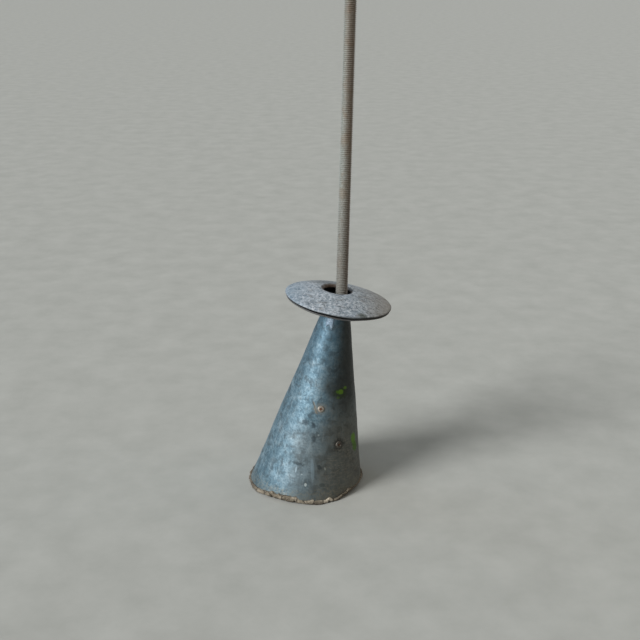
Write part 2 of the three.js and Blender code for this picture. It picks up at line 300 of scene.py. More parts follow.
# Marks on the sheet: degrees round, millimetres down, length, width, slant from level in degrees,
# hex value, cover.
CONE_MARKS = [
    # where something was struck or spilt: dark, soft blots
    (-112, 142, 8.5, 6.5, 10, "#2C3940", 0.7),
    (-98, 143, 6, 3.6, 70, "#2C3940", 0.7),
    (-95, 154, 5.5, 4.2, 60, "#303B40", 0.6),
    (-109, 177, 13, 2.6, 2, "#2B383D", 0.55),
    (-82, 177, 5.5, 4, 40, "#2A3336", 0.6),
    (-77, 192, 7, 4, 10, "#2F3836", 0.5),
    (-128, 166, 5, 3, 30, "#34464F", 0.45),
    # where water has run down it
    (-90, 180, 22, 3.4, 80, "#8DA0A8", 0.4),
    (-109, 182, 6, 1.8, 85, "#9FB2BA", 0.5),
    # moss
    (-57, 114, 14, 11, 12, "#2C3A1B", 0.65),
    (-59, 113, 6, 4.6, 12, "#5F861F", 0.8),
    (-48, 110, 5, 3.2, 10, "#5A801F", 0.75),
    (-65, 113, 4, 3, 10, "#4C6E1E", 0.7),
    (-64, 118, 4, 3, 10, "#46641E", 0.6),
    (-28, 156, 11, 8, 75, "#5E8A1E", 0.85),
    (-25, 164, 12, 8.5, 80, "#486E1C", 0.85),
    # scratches down to bright metal, gone tan, by the upper rivet
    (-101, 128, 13, 2.2, 64, "#8A8373", 0.6),
    (-104, 126, 8, 1.2, 62, "#2F2C27", 0.6),
    (-98, 131, 6, 1.2, 62, "#2F2C27", 0.5),
    (-92, 128, 13, 11, 0, "#8A8476", 0.35),
    # dirt round the lower rivet
    (-59, 158, 12, 11.5, 0, "#24231F", 0.6),
    # drops of lime
    (-95, 193, 3, 2.3, 80, "#BCC6C3", 0.7),
    (-101, 185, 1.8, 1.5, 0, "#A9B6B6", 0.5),
    (-75, 178, 3, 1.9, 60, "#9A9F98", 0.6),
    (-89, 150, 1.6, 1.4, 0, "#A9B6B6", 0.4),
]


# Sheet zinc, rolled and soldered, left in the weather: a matt blue-grey patina, paler where rain
# runs, browner and darker on the side away from the key light, partly with dust and partly as
# painted shade, with a broad dull sheen and no clear reflections. The real grain is finer than
# 1 mm: it is drawn at 2 mm, as coarse as it needs to show.
def weathered_zinc():
    material, tree, place = new_material("weathered_sheet_zinc")
    side = add(tree, "ShaderNodeUVMap", uv_map="round_and_down")
    down_lines = add(tree, "ShaderNodeMapping", {"Vector": side, "Scale": (1.0, 0.1, 1.0)})
    round_lines = add(tree, "ShaderNodeMapping", {"Vector": side, "Scale": (0.14, 1.0, 1.0)})
    long_lines = add(tree, "ShaderNodeMapping", {"Vector": side, "Rotation": (0.0, 0.0, 0.12),
                                                 "Scale": (1.0, 0.06, 1.0)})
    clouds = add(tree, NOISE, {"Vector": place, "Scale": per(30), "Detail": 4.0, "Roughness": 0.6})
    mottle = add(tree, NOISE, {"Vector": place, "Scale": per(8), "Detail": 6.0, "Roughness": 0.58})
    grain = add(tree, NOISE, {"Vector": place, "Scale": per(2), "Detail": 4.0, "Roughness": 0.75})
    runs = add(tree, NOISE, {"Vector": down_lines, "Scale": per(3.4), "Detail": 6.0, "Roughness": 0.62})
    rolling = add(tree, NOISE, {"Vector": round_lines, "Scale": per(1.3), "Detail": 3.0,
                                "Roughness": 0.6})
    scratches = add(tree, NOISE, {"Vector": long_lines, "Scale": per(2.2), "Detail": 2.0})
    blots = add(tree, NOISE, {"Vector": place, "Scale": per(6), "Detail": 3.0, "Distortion": 0.8})
    base = add(tree, RAMP, {"Fac": mottle}, stops=[
        (0.27, "#445A64"), (0.43, "#56717D"), (0.57, "#66808B"), (0.75, "#889DA5")])
    base = lay_coats(tree, base, [
        (clouds, 0.55, 0.32, 0.3, "#466069"),
        (clouds, 0.52, 0.72, 0.3, "#8A9BA0"),
        (runs, 0.54, 0.72, 0.3, "#93A6AC"),
        (runs, 0.46, 0.3, 0.42, "#35444D"),
        (rolling, 0.55, 0.7, 0.25, "#8FA2A9"),
        (rolling, 0.45, 0.3, 0.3, "#384850"),
        (grain, 0.52, 0.64, 0.2, "#98A8AD"),
        (grain, 0.47, 0.36, 0.3, "#2F3D45"),
        (scratches, 0.66, 0.72, 0.25, "#A5B2B4"),
        (blots, 0.6, 0.68, 0.3, "#36444C"),
    ])
    # The right side, which the cone leans over, faces away from the key light: brown dust gathers low
    # on it, darkened further as painted shade, and high up it is painted near black as shade.
    across = add(tree, VECTOR, {0: place, 1: (1.0, 0.0, -0.17)}, "Value", operation="DOT_PRODUCT")
    wander = add(tree, RANGE, {"Value": clouds, "To Min": -16 * MM, "To Max": 16 * MM})
    toward_shade_side = add(tree, MATH, {0: across, 1: wander}, operation="ADD")
    height = add(tree, "ShaderNodeSeparateXYZ", {"Vector": place}, "Z")
    shade = add(tree, RANGE, {"Value": toward_shade_side, "From Min": -8 * MM, "From Max": 20 * MM},
                interpolation_type="SMOOTHSTEP")
    thick = add(tree, RANGE, {"Value": grain, "From Min": 0.3, "From Max": 0.6, "To Min": 0.55})
    dust_and_shade = add(tree, MATH, {0: shade, 1: thick}, operation="MULTIPLY")
    high = add(tree, RANGE, {"Value": height, "From Min": 52 * MM, "From Max": 105 * MM},
               interpolation_type="SMOOTHSTEP")
    low = add(tree, RANGE, {"Value": height, "From Min": 85 * MM, "From Max": 45 * MM},
              interpolation_type="SMOOTHSTEP")
    rinsed = add(tree, RANGE, {"Value": toward_shade_side, "From Min": -34 * MM, "From Max": -4 * MM},
                 interpolation_type="SMOOTHSTEP")
    chalk = add(tree, MATH, {0: low, 1: rinsed}, operation="MULTIPLY")
    painted_shade_high = add(tree, MATH, {0: shade, 1: high}, operation="MULTIPLY")
    foot = add(tree, RANGE, {"Value": height, "From Min": 30 * MM, "From Max": 4 * MM},
               interpolation_type="SMOOTHSTEP")
    splash = add(tree, MATH, {0: foot, 1: grain}, operation="MULTIPLY")
    base = lay_coats(tree, base, [
        # painted shade: darker and bluer towards the top, under the collar
        (height, 85 * MM, 160 * MM, 0.5, "#2F4C5C"),
        (chalk, 0.1, 0.9, 0.42, "#6F716C"),
        # brown dust on the side away from the key light, darkened as painted shade
        (dust_and_shade, 0.0, 1.0, 0.68, "#5A5548"),
        (blots, 0.5, 0.62, 0.3, "#2F3331"),
        # painted shade: near black high on the side away from the key light
        (painted_shade_high, 0.0, 1.0, 0.85, "#202625"),
        (splash, 0.36, 0.56, 0.4, "#75705F"),
    ])
    # Paler dust caught in the rolling lines over the brown.
    caught = add(tree, MATH, {0: dust_and_shade, 1: rolling}, operation="MULTIPLY")
    settled = add(tree, MATH, {0: caught, 1: low}, operation="MULTIPLY")
    base = lay_coats(tree, base, [(settled, 0.38, 0.58, 0.25, "#8E8878")])
    rag = add(tree, MATH, {0: grain, 1: 0.6, 2: mottle}, operation="MULTIPLY_ADD")
    wobble = add(tree, RANGE, {"Value": rag, "From Min": 0.6, "From Max": 1.0, "To Min": -0.25,
                               "To Max": 0.25})
    for degrees, down, length, width, slant, code, cover in CONE_MARKS:
        angle = math.radians(degrees)
        level = Vector((-math.sin(angle), math.cos(angle), 0))
        fall = (on_cone(angle, down + 1) - on_cone(angle, down)).normalized()
        along = level * math.cos(math.radians(slant)) + fall * math.sin(math.radians(slant))
        along = (cone_frame.to_3x3() @ along).normalized()
        centre = (cone_frame @ on_cone(angle, down)) * MM
        offset = add(tree, VECTOR, {0: place, 1: centre}, operation="SUBTRACT")
        reach = add(tree, VECTOR, {0: offset, 1: along * (width / length - 1)}, "Value",
                    operation="DOT_PRODUCT")
        squeezed = add(tree, VECTOR, {0: along, "Scale": reach}, operation="SCALE")
        round_mark = add(tree, VECTOR, {0: offset, 1: squeezed}, operation="ADD")
        distance = add(tree, VECTOR, {0: round_mark}, "Value", operation="LENGTH")
        share = add(tree, MATH, {0: distance, 1: per(width / 2), 2: wobble}, operation="MULTIPLY_ADD")
        base = lay_coats(tree, base, [(share, 1.15, 0.6, cover, code)])
    relief = add(tree, MATH, {0: grain, 1: 0.6, 2: mottle}, operation="MULTIPLY_ADD")
    roughness = add(tree, RANGE, {"Value": grain, "From Min": 0.3, "From Max": 0.7, "To Min": 0.64,
                                  "To Max": 0.46})
    close_material(tree, base, roughness, 0.6, relief, 0.14)
    return material


# Rolled zinc again, but coarser: the dishes keep the pale flower of their crystals, nearly 3 mm
# across. The grain is drawn at 2 mm, as on the cone.
def spangled_zinc(name, under_dish_shade):
    material, tree, place = new_material(name)
    flower = add(tree, CELLS, {"Vector": place, "Scale": per(2.8)}, "Color")
    bright = add(tree, "ShaderNodeSeparateColor", {"Color": flower}, "Red")
    borders = add(tree, CELLS, {"Vector": place, "Scale": per(2.8)}, feature="DISTANCE_TO_EDGE")
    mottle = add(tree, NOISE, {"Vector": place, "Scale": per(6), "Detail": 9.0, "Roughness": 0.7})
    clouds = add(tree, NOISE, {"Vector": place, "Scale": per(22), "Detail": 4.0, "Roughness": 0.6})
    grain = add(tree, NOISE, {"Vector": place, "Scale": per(2), "Detail": 4.0, "Roughness": 0.75})
    stains = add(tree, NOISE, {"Vector": place, "Scale": per(9), "Detail": 6.0, "Distortion": 1.0})
    east = add(tree, "ShaderNodeSeparateXYZ", {"Vector": place}, "X")
    hole = add(tree, VECTOR, {0: place, 1: hole_centre * MM}, "Value", operation="DISTANCE")
    shade_spot = add(tree, VECTOR, {0: place, 1: shade_spot_centre * MM}, "Value", operation="DISTANCE")
    moss = add(tree, VECTOR, {0: place, 1: moss_centre * MM}, "Value", operation="DISTANCE")
    level = add(tree, VECTOR, {0: place, 1: collar_axis}, "Value", operation="DOT_PRODUCT")
    rim_level = rim_centre.dot(collar_axis) * MM
    base = add(tree, RAMP, {"Fac": mottle}, stops=[
        (0.34, "#58646B"), (0.5, "#84919A"), (0.64, "#B3C0C7")])
    base = lay_coats(tree, base, [
        (bright, 0.45, 0.95, 0.4, "#C2CBD0"),
        (borders, 0.22, 0.04, 0.35, "#D3D9DC"),
        (grain, 0.5, 0.6, 0.65, "#E2E6E8"),
        (grain, 0.46, 0.38, 0.5, "#4E585E"),
        (clouds, 0.5, 0.3, 0.3, "#93A1AC"),
        (stains, 0.56, 0.68, 0.45, "#77736B"),
        # painted reflection: bluer on the left, the lit side, for the cool light there
        (east, 8 * MM, -14 * MM, 0.4, "#7F9CAF"),
        # brown rust at the far right, lightened there as painted light
        (east, 40 * MM, 72 * MM, 0.65, "#85775F"),
        # painted shade: a darker spot behind the hole, where the sheet turns down into it
        (shade_spot, 22 * MM, 6 * MM, 0.6, "#565956"),
        (hole, 14.2 * MM, 12.4 * MM, 0.8, "#50391F"),
        (moss, 6.5 * MM, 2.5 * MM, 0.75, "#343C2C"),
        # painted shade: the rim's outer edge is darkened, over the shadowed gap under it
        (level, rim_level + 1.5 * MM, rim_level + 0.5 * MM, 0.75, "#3B3D3D"),
        # painted shade: the lower dish is darkened all over, as it lies in the upper dish's shade
        (mottle, 0.1, 0.6, under_dish_shade, "#46433E"),
    ])
    relief = add(tree, MATH, {0: grain, 1: 0.4, 2: mottle}, operation="MULTIPLY_ADD")
    roughness = add(tree, RANGE, {"Value": mottle, "From Min": 0.3, "From Max": 0.7, "To Min": 0.66,
                                  "To Max": 0.5})
    close_material(tree, base, roughness, 0.35, relief, 0.22)
    return material


# Tin-lead solder, run on with a hot iron and gone dull: pale, soft-edged, slightly pitted.
def old_solder():
    material, tree, place = new_material("old_solder")
    mottle = add(tree, NOISE, {"Vector": place, "Scale": per(2.5), "Detail": 6.0, "Roughness": 0.65})
    base = add(tree, RAMP, {"Fac": mottle}, stops=[
        (0.32, "#5F7382"), (0.56, "#7D8F9C"), (0.7, "#A9B7C1")])
    roughness = add(tree, RANGE, {"Value": mottle, "To Min": 0.75, "To Max": 0.5})
    close_material(tree, base, roughness, 0.5, mottle, 0.15)
    return material


# Lime and sand mortar, cast wet and broken at the rim: matt, gritty, the colour of its sand.
def sand_mortar():
    material, tree, place = new_material("sand_mortar")
    clouds = add(tree, NOISE, {"Vector": place, "Scale": per(17), "Detail": 6.0, "Roughness": 0.6})
    grit = add(tree, NOISE, {"Vector": place, "Scale": per(1.1), "Detail": 6.0, "Roughness": 0.75})
    sand = add(tree, CELLS, {"Vector": place, "Scale": per(2.2)})
    cracks = add(tree, CELLS, {"Vector": place, "Scale": per(9)}, feature="DISTANCE_TO_EDGE")
    x, y, height = (add(tree, "ShaderNodeSeparateXYZ", {"Vector": place}, axis) for axis in "XYZ")
    base = add(tree, RAMP, {"Fac": clouds}, stops=[
        (0.36, "#4B4335"), (0.48, "#7D7463"), (0.6, "#B3A995")])
    base = lay_coats(tree, base, [
        (grit, 0.5, 0.66, 0.5, "#ACA290"),
        (sand, 0.22, 0.1, 0.45, "#B3A995"),
        (grit, 0.45, 0.3, 0.6, "#463E34"),
        (cracks, 0.08, 0.01, 0.8, "#2E2820"),
        # painted shade: darker along the lower edge where the foot meets the floor, and on the right
        # and at the back, the sides away from the key light
        (height, 3.2 * MM, 0.4 * MM, 0.8, "#332D24"),
        (x, 14 * MM, 40 * MM, 0.55, "#4A4133"),
        (x, -38 * MM, -50 * MM, 0.5, "#5B5448"),
        (y, 10 * MM, 40 * MM, 0.4, "#4F473B"),
    ])
    relief = add(tree, MATH, {0: grit, 1: 0.7, 2: sand}, operation="MULTIPLY_ADD")
    close_material(tree, base, 0.95, 0.0, relief, 0.7)
    return material


# Rolled steel thread, its zinc plating worn off the crests and rusting in the roots.
def rod_steel():
    material, tree, place = new_material("worn_thread_steel")
    groove = add(tree, "ShaderNodeAttribute", output="Fac", attribute_name="groove")
    patches = add(tree, NOISE, {"Vector": place, "Scale": per(14), "Detail": 5.0, "Roughness": 0.6})
    fine = add(tree, NOISE, {"Vector": place, "Scale": per(2), "Detail": 5.0, "Roughness": 0.7})
    x, height = (add(tree, "ShaderNodeSeparateXYZ", {"Vector": place}, axis) for axis in "XZ")
    base = add(tree, RAMP, {"Fac": fine}, stops=[(0.3, "#8C9089"), (0.7, "#BCC2BB")])
    base = lay_coats(tree, base, [
        (groove, 0.15, 0.95, 0.45, "#5D5143"),
        (patches, 0.5, 0.68, 0.4, "#8E7B66"),
        (x, 30 * MM, 37 * MM, 0.55, "#705234"),
        (height, 280 * MM, 190 * MM, 0.4, "#66574A"),
    ])
    roughness = add(tree, RANGE, {"Value": fine, "From Min": 0.3, "From Max": 0.7, "To Min": 0.62,
                                  "To Max": 0.45})
    close_material(tree, base, roughness, 0.35, fine, 0.06)
    return material


# Plain steel nuts and washers, never plated: dark mill scale with brown bloom.
def fastener_steel():
    material, tree, place = new_material("bare_fastener_steel")
    bloom = add(tree, NOISE, {"Vector": place, "Scale": per(7), "Detail": 6.0, "Roughness": 0.65})
    fine = add(tree, NOISE, {"Vector": place, "Scale": per(1.5), "Detail": 4.0, "Roughness": 0.7})
    base = add(tree, RAMP, {"Fac": bloom}, stops=[(0.35, "#5B5650"), (0.7, "#7C5537")])
    base = lay_coats(tree, base, [(fine, 0.5, 0.7, 0.3, "#8A8074")])
    roughness = add(tree, RANGE, {"Value": bloom, "From Min": 0.35, "From Max": 0.7, "To Min": 0.45,
                                  "To Max": 0.8})
    close_material(tree, base, roughness, 0.6, fine, 0.08)
    return material


# Aluminium rivet body, drawn and set: pale and dull, in the dark and pale tones given for each rivet.
def rivet_aluminium(name, dark, pale):
    material, tree, place = new_material(name)
    fine = add(tree, NOISE, {"Vector": place, "Scale": per(1.2), "Detail": 5.0, "Roughness": 0.7})
    base = add(tree, RAMP, {"Fac": fine}, stops=[(0.35, dark), (0.65, pale)])
    close_material(tree, base, 0.55, 0.4, fine, 0.06)
    return material


# The rivet's steel stem, snapped off and rusted: matt orange-brown.
def stem_rust():
    material, tree, place = new_material("rusted_stem_steel")
    fine = add(tree, NOISE, {"Vector": place, "Scale": per(0.7), "Detail": 5.0, "Roughness": 0.7})
    base = add(tree, RAMP, {"Fac": fine}, stops=[(0.35, "#4A2F20"), (0.68, "#80573A")])
    close_material(tree, base, 0.9, 0.1, fine, 0.12)
    return material


# Pale screeded floor: flat and matt, with a faint cloudiness.
def floor_screed():
    material, tree, place = new_material("pale_floor")
    clouds = add(tree, NOISE, {"Vector": place, "Scale": per(40), "Detail": 6.0, "Roughness": 0.6})
    base = add(tree, RAMP, {"Fac": clouds}, stops=[(0.3, "#AAABA3"), (0.7, "#B6B7AF")])
    close_material(tree, base, 0.85, 0.0, clouds, 0.05)
    return material


ZINC = weathered_zinc()
UPPER_ZINC = spangled_zinc("spangled_dish_zinc", 0.0)
# The lower dish is the same zinc, darkened as painted shade.
LOWER_ZINC = spangled_zinc("shade_darkened_dish_zinc", 0.8)
SOLDER = old_solder()
MORTAR = sand_mortar()
ROD_STEEL = rod_steel()
FASTENER = fastener_steel()
STEM = stem_rust()

# ---- Cone and seam ------------------------------------------------------------------------------

# Height of the sheet's ragged lower edge over the floor, by degrees round the foot.
EDGE_HEIGHTS = [(-170, 1.6), (-150, 2.8), (-126, 5.2), (-108, 6.0), (-88, 3.0), (-60, 1.8), (-38, 4.9),
                (-5, 4.2), (60, 3.2), (120, 4.2)]
# Small tears in that edge: degrees round, half width in degrees, depth.
EDGE_TEARS = [(-127, 4.5, 1.6), (-119, 1.8, 1.0), (-100, 3.4, 1.3), (-83, 2.6, 0.9), (-65, 4.2, 1.7),
              (-41, 3.0, 1.2), (-12, 3.5, 1.0), (75, 4.0, 1.5), (150, 3.0, 1.2)]


def notched(notches, degrees):
    """The depth of the notches at an angle."""
    depth = 0.0
    for middle, half_width, deepest in notches:
        apart = abs((degrees - middle + 180) % 360 - 180)
        depth += deepest * (1 - smooth_step(0, half_width, apart))
    return depth


def edge_height(degrees):
    """How far over the floor the sheet's ragged lower edge is, at an angle."""
    angle = math.radians(degrees)
    height = around(EDGE_HEIGHTS, degrees)
    height += 0.5 * noise.noise(Vector((math.cos(angle), math.sin(angle), 0)) * 9)
    height += notched(EDGE_TEARS, degrees)
    return height


def hand_rolled(bm):
    """Gives a piece in the cone's frame, lying on the cone, the sheet's uneven roll and dents."""
    for vert in bm.verts:
        outward = Vector((vert.co.x, vert.co.y, 0)).normalized()
        swell = 0.45 * rough(vert.co, 42, 2) + 0.12 * rough(vert.co, 9, 3)
        foot = smooth_step(150, 205, -vert.co.z) * 0.5 * rough(vert.co, 16, 2)
        vert.co += outward * (swell + foot)


def trim_foot(bm):
    """Cuts a piece in the cone's frame along the sheet's ragged lower edge."""
    bm.transform(cone_frame)
    bmesh.ops.bisect_plane(bm, geom=bm.verts[:] + bm.edges[:] + bm.faces[:], plane_co=(0, 0, SHEET_END),
                           plane_no=(0, 0, 1), clear_inner=True)
    for vert in bm.verts:
        share = 1 - smooth_step(SHEET_END, SHEET_END + FOOT_BLEND, vert.co.z)
        if share > 0:
            rise = (edge_height(math.degrees(math.atan2(vert.co.y, vert.co.x))) - SHEET_END) * share
            vert.co += (apex - vert.co) * rise / (apex.z - vert.co.z)
    bm.transform(into_cone)


def lay_uv(bm):
    """A map in metres: round the cone at its middle, and down its side."""
    layer = bm.loops.layers.uv.new("round_and_down")
    middle_radius = 32.0
    for face in bm.faces:
        angles = [math.atan2(loop.vert.co.y, loop.vert.co.x) for loop in face.loops]
        wraps = max(angles) - min(angles) > math.pi
        for loop, angle in zip(face.loops, angles):
            angle += FULL_TURN if wraps and angle < 0 else 0
            loop[layer].uv = (angle * middle_radius * MM, -loop.vert.co.z * MM)


def generator(low_down, high_down, rings, out=0.0):
    """Points down the cone's side, as (radius, z)."""
    for i in range(rings + 1):
        down = low_down + (high_down - low_down) * i / rings
        yield down * TAPER + out / math.cos(HALF_ANGLE), -down


def make_cone():
    bm = spun(list(generator(NECK_DOWN, PAST_FLOOR, 96)), 240)
    trim_foot(bm)
    hand_rolled(bm)
    lay_uv(bm)
    piece = finish_piece(bm, "cone_of_sheet_zinc", cone_frame, "root", "cone_shell",
                         ZINC)
    thicken(piece, SHEET)
    soften(piece, 0.25, 2)


def make_seam():
    half_angle = SEAM_HALF_WIDTH / SEAM_RADIUS
    top = RING_DOWN + RING_WIRE + SOLDER_SLEEVE + 3 * TOUCH
    bm = spun(list(generator(top, PAST_FLOOR, 90, TOUCH + SEAM_SHEET)), 10, angle=2 * half_angle,
              start=math.pi / 2 - half_angle)
    bmesh.ops.remove_doubles(bm, verts=bm.verts, dist=1e-4)
    # The strip is as wide at its top as at its foot.
    for vert in bm.verts:
        turn = math.atan2(vert.co.y, vert.co.x) - math.pi / 2
        radius = math.hypot(vert.co.x, vert.co.y)
        turn = math.pi / 2 + turn * SEAM_RADIUS / radius
        vert.co.x, vert.co.y = radius * math.cos(turn), radius * math.sin(turn)
    trim_foot(bm)
    hand_rolled(bm)
    lay_uv(bm)
    piece = finish_piece(bm, "soldered_seam_strip", cone_frame, "root", "seam_strip",
                         ZINC)
    thicken(piece, SEAM_SHEET)
    soften(piece, 0.35, 3)


# ---- Neck ring and its solder -------------------------------------------------------------------

def make_ring():
    middle = RING_DOWN * TAPER + (RING_WIRE + TOUCH) / math.cos(HALF_ANGLE)
    last = 360 - 360 / RING_SIDES
    bm = spun(list(arc((middle, -RING_DOWN), RING_WIRE, 0, last, RING_SIDES - 1)), 120, closed=True)
    for vert in bm.verts:
        vert.co.z += 0.12 * rough(vert.co, 11, 2)
    lay_uv(bm)
    finish_piece(bm, "neck_ring_of_zinc_wire", cone_frame, "root", "neck_ring", ZINC)


RUN_ANGLE = math.radians(-110)
RUN_HALF_WIDTH = math.radians(15)
RUN_LENGTH = 8.6
SOLDER_START = RING_DOWN + RING_WIRE * 0.4


def solder_thickness(angle, down):
    """A fillet under the ring, a run down the front and two drips at its end; under 0 it is none."""
    fillet = 1.2 * (1 - smooth_step(SOLDER_START, SOLDER_START + 3.6, down))
    side = abs(angle - RUN_ANGLE) / RUN_HALF_WIDTH
    drips = 1.5 * math.exp(-((side - 0.62) / 0.3) ** 2) * (1 if angle > RUN_ANGLE else 0.6)
    end = SOLDER_START + RUN_LENGTH + 2.3 * drips
    run = 0.75 * (1 - smooth_step(0.7, 1.15, side)) * (1 - smooth_step(end - 1.6, end, down))
    lumps = 0.12 * rough(on_cone(angle, down), 3, 3)
    body = max(fillet, run)
    return body + lumps * min(1.0, body * 2) - 0.12


def make_solder():
    bm = spun(list(generator(SOLDER_START, SOLDER_START + 16, 54)), 300)
    for vert in bm.verts:
        angle = math.atan2(vert.co.y, vert.co.x)
        vert.co = on_cone(angle, -vert.co.z, solder_thickness(angle, -vert.co.z))
    hand_rolled(bm)
    # What would lie under the sheet's face is cut away, so that no skin is left inside the wall.
    bare = [face for face in bm.faces
            if all(solder_thickness(math.atan2(v.co.y, v.co.x), -v.co.z) < -0.1 for v in face.verts)]
    bmesh.ops.delete(bm, geom=bare, context="FACES")
    piece = finish_piece(bm, "neck_solder_run", cone_frame, "root", "neck_solder", SOLDER,
                         sharp=60)
    thicken(piece, 0.5)


# ---- Mortar foot --------------------------------------------------------------------------------

# How far the broken mortar reaches on the floor, by degrees round the foot.
MORTAR_REACH = [(-166, 49.6), (-150, 50.4), (-133, 47.6), (-119, 46.6), (-96, 48.2), (-76, 51.6),
                (-66, 49.9), (-58, 50.2), (-40, 46.6), (-25, 46.0), (12, 51.0), (60, 50.0),
                (115, 50.4), (160, 49.2)]
# Where it has split: degrees round, half width in degrees, depth.
MORTAR_SPLITS = [(-127, 1.6, 2.2), (-112, 1.2, 1.0), (-101, 1.8, 2.0), (-66, 1.8, 2.4), (-48, 1.4, 1.2),
                 (20, 2.0, 1.8), (94, 1.8, 1.6), (140, 1.6, 1.4)]
# How many rings of points run over each stretch of it, and how far its core is inside the sheet.
UNDER_RINGS = 8
LIP_RINGS = 12
CORE_RINGS = 8
TOP_RINGS = 8
LIP_END = UNDER_RINGS + LIP_RINGS
CORE_START = LIP_END + 2
CORE_ROOM = 0.6


def sheet_outline(angle, height, out=0.0):
    """Where the cone's outer surface stands at a height over the floor, seen from the foot's middle."""
    lean = math.asin(collar_axis.x)
    fall = apex.z - height
    left = apex.x - fall * math.tan(HALF_ANGLE + lean)
    right = apex.x + fall * math.tan(HALF_ANGLE - lean)
    half_width = (right - left) / 2
    half_depth = half_width * LEVEL_CUT
    return Vector(((left + right) / 2 + (half_width + out) * math.cos(angle),
                   (half_depth + out) * math.sin(angle), height))


def mortar_point(angle, ring):
    """Ring by ring: the underside, the broken lip, under the sheet, up the core and over its top."""
    degrees = math.degrees(angle)
    reach = around(MORTAR_REACH, degrees) - notched(MORTAR_SPLITS, degrees)
    edge = edge_height(degrees) + 0.2
    outward = Vector((math.cos(angle), math.sin(angle), 0))
    if ring <= UNDER_RINGS:
        return outward * (reach - 1.2) * ring / UNDER_RINGS
    if ring <= LIP_END:
        share = (ring - UNDER_RINGS) / LIP_RINGS
        lower = outward * reach
        upper = sheet_outline(angle, edge, 0.9 + 0.5 * math.sin(5 * angle))
        point = lower.lerp(upper, smooth_step(0.0, 1.0, share))
        point += outward * (0.9 * math.sin(math.pi * share) - 1.2 * (1 - share) ** 4)
        return Vector((point.x, point.y, edge * share))
    if ring == LIP_END + 1:
        return sheet_outline(angle, edge + 0.1, 0.2)
    if ring == CORE_START:
        return sheet_outline(angle, edge + 0.1, -SHEET - CORE_ROOM)
    share = (ring - CORE_START) / CORE_RINGS
    if share <= 1:
        return sheet_outline(angle, edge + (MORTAR_DEPTH - edge) * share, -SHEET - CORE_ROOM)
    rim = sheet_outline(angle, MORTAR_DEPTH, -SHEET - CORE_ROOM)
    middle = Vector((rod_start.x + MORTAR_DEPTH * rod_axis.x, 0, MORTAR_DEPTH))
    return rim.lerp(middle, (ring - CORE_START - CORE_RINGS) / TOP_RINGS)


def make_mortar():
    rings = CORE_START + CORE_RINGS + TOP_RINGS
    # A barrel whose z counts the rings; each ring is then drawn to its own outline.
    outline = [(0, 0)] + [(1, i) for i in range(1, rings)] + [(0, rings)]
    bm = spun(outline, 260)
    for vert in bm.verts:
        ring = round(vert.co.z)
        angle = math.atan2(vert.co.y, vert.co.x)
        vert.co = mortar_point(angle, ring)
        if UNDER_RINGS < ring <= LIP_END:
            crumble = 0.75 * rough(vert.co, 5.5, 5) + 0.35 * rough(vert.co, 1.6, 3)
            outward = Vector((math.cos(angle), math.sin(angle), 0))
            vert.co += outward * crumble * min(1.0, vert.co.z / 0.8)
            lumps = 0.4 * rough(vert.co + Vector((40, 0, 0)), 4, 3)
            vert.co.z = max(0.0, vert.co.z + lumps * vert.co.z / 5)
        elif ring > CORE_START + CORE_RINGS:
            vert.co.z += 0.25 * rough(vert.co, 7, 4) - 0.25
    finish_piece(bm, "cast_mortar_foot", Matrix.Identity(4), "root", "mortar_foot", MORTAR,
                 sharp=55)


# ---- Threaded rod and its fasteners --------------------------------------------------------------

def threaded_length(radius, depth, length, chamfer):
    """A length of screw thread about Z with chamfered, closed ends."""
    root = radius - depth
    flank = 0.3125 * THREAD_PITCH
    root_flat = 0.25 * THREAD_PITCH
    profile = [(root, 0), (root, root_flat), (radius, root_flat + flank),
               (radius, THREAD_PITCH - flank), (root, THREAD_PITCH)]
    bm = spun(profile, ROD_SIDES, climb=THREAD_PITCH)
    turn = bm.verts[:] + bm.edges[:] + bm.faces[:]
    turns = math.ceil(length / THREAD_PITCH) + 2
    for i in range(1, turns):
        copy = bmesh.ops.duplicate(bm, geom=turn)["geom"]
        moved = [item for item in copy if isinstance(item, bmesh.types.BMVert)]
        bmesh.ops.translate(bm, verts=moved, vec=(0, 0, i * THREAD_PITCH))
    bmesh.ops.remove_doubles(bm, verts=bm.verts, dist=1e-3)
    bmesh.ops.translate(bm, verts=bm.verts, vec=(0, 0, -1.5 * THREAD_PITCH))
    for level, side in ((0.0, -1), (length, 1)):
        for vert in bm.verts:
            past = chamfer - (level - vert.co.z) * side
            size = math.hypot(vert.co.x, vert.co.y)
            limit = radius - past
            if past > 0 and size > limit:
                vert.co.x *= limit / size
                vert.co.y *= limit / size
        bmesh.ops.bisect_plane(bm, geom=bm.verts[:] + bm.edges[:] + bm.faces[:], plane_co=(0, 0, level),
                               plane_no=(0, 0, side), clear_outer=True)
        rim = [edge for edge in bm.edges
               if edge.is_boundary and all(abs(vert.co.z - level) < 1e-3 for vert in edge.verts)]
        bmesh.ops.holes_fill(bm, edges=rim, sides=0)
    bmesh.ops.recalc_face_normals(bm, faces=bm.faces)
    return bm


def make_rod():
    bm = threaded_length(ROD_RADIUS, THREAD_DEPTH, rod_length, ROD_CHAMFER)
    groove = bm.verts.layers.float.new("groove")
    for vert in bm.verts:
        depth = ROD_RADIUS - math.hypot(vert.co.x, vert.co.y)
        vert[groove] = min(1.0, depth / THREAD_DEPTH)
    finish_piece(bm, "threaded_rod_m10", rod_frame, "root", "threaded_rod", ROD_STEEL,
                 sharp=20)


def make_washer(node, radius):
    low, high = (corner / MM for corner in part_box(node))
    # The disc leans with the rod, so its box is taller than it is thick.
    lean = 2 * radius * rod_axis.x
    thickness = high.z - low.z - lean
    hole = ROD_RADIUS + HOLE_ROOM
    level = (low.z + lean / 2 - rod_start.z) / rod_axis.z
    round_over = 0.35
    section = [(hole, level), (radius - round_over, level), (radius, level + round_over),
               (radius, level + thickness - round_over), (radius - round_over, level + thickness),
               (hole + round_over, level + thickness), (hole, level + thickness - round_over)]
    bm = spun(section, 96, closed=True)
    finish_piece(bm, node + "_steel", rod_frame, "root", node, FASTENER)


